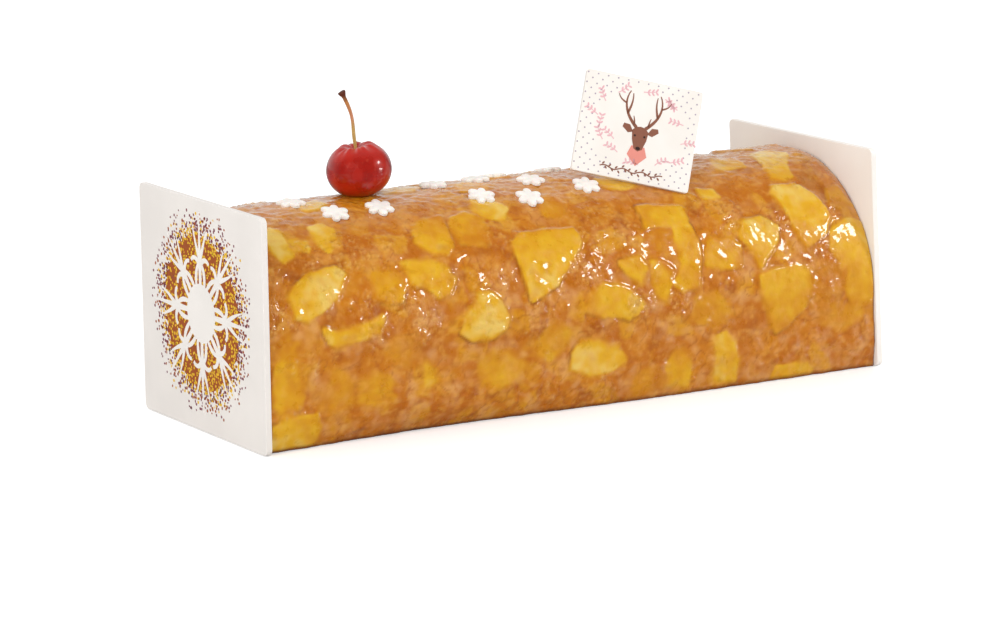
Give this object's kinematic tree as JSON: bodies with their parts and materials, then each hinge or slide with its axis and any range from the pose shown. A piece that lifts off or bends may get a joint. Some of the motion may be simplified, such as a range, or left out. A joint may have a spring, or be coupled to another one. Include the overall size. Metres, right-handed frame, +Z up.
{
  "type": "yule log cake",
  "caption": "Arched fruit-and-jelly yule log cake between two upright end plates, topped with a cherry, a small plaque and sugar snowflakes.",
  "frame": {"origin": "centre of the bounding box's bottom face, on the surface the log stands on", "axes": "+X along the log, from the printed end plate to the plain one; +Z up; the front side of the log faces -Y"},
  "size_m": [0.2522, 0.09, 0.1121],
  "materials": {
    "mango_jelly": "wet golden fruit pieces sunk in clear amber jelly",
    "plate_white": "smooth satin white",
    "cherry_red": "wet glossy red skin",
    "stem_tan": "dull tan stalk with a darker tip",
    "plaque_white": "smooth off-white sugar plaque",
    "sugar_white": "matte pressed sugar",
    "print_brown": "brown food print",
    "print_gold": "golden food print",
    "print_plum": "plum food print",
    "print_pink": "pale pink food print"
  },
  "bodies": {
    "root": {"log": "mango_jelly", "end_plate_left": "plate_white", "end_plate_right": "plate_white", "cherry": "cherry_red", "cherry_stem": "stem_tan", "plaque": "plaque_white", "snowflake_01": "sugar_white", "snowflake_02": "sugar_white", "snowflake_03": "sugar_white", "snowflake_04": "sugar_white", "snowflake_05": "sugar_white", "snowflake_06": "sugar_white", "snowflake_07": "sugar_white", "snowflake_08": "sugar_white", "snowflake_09": "sugar_white", "snowflake_10": "sugar_white", "snowflake_11": "sugar_white"}
  },
  "joints": []
}
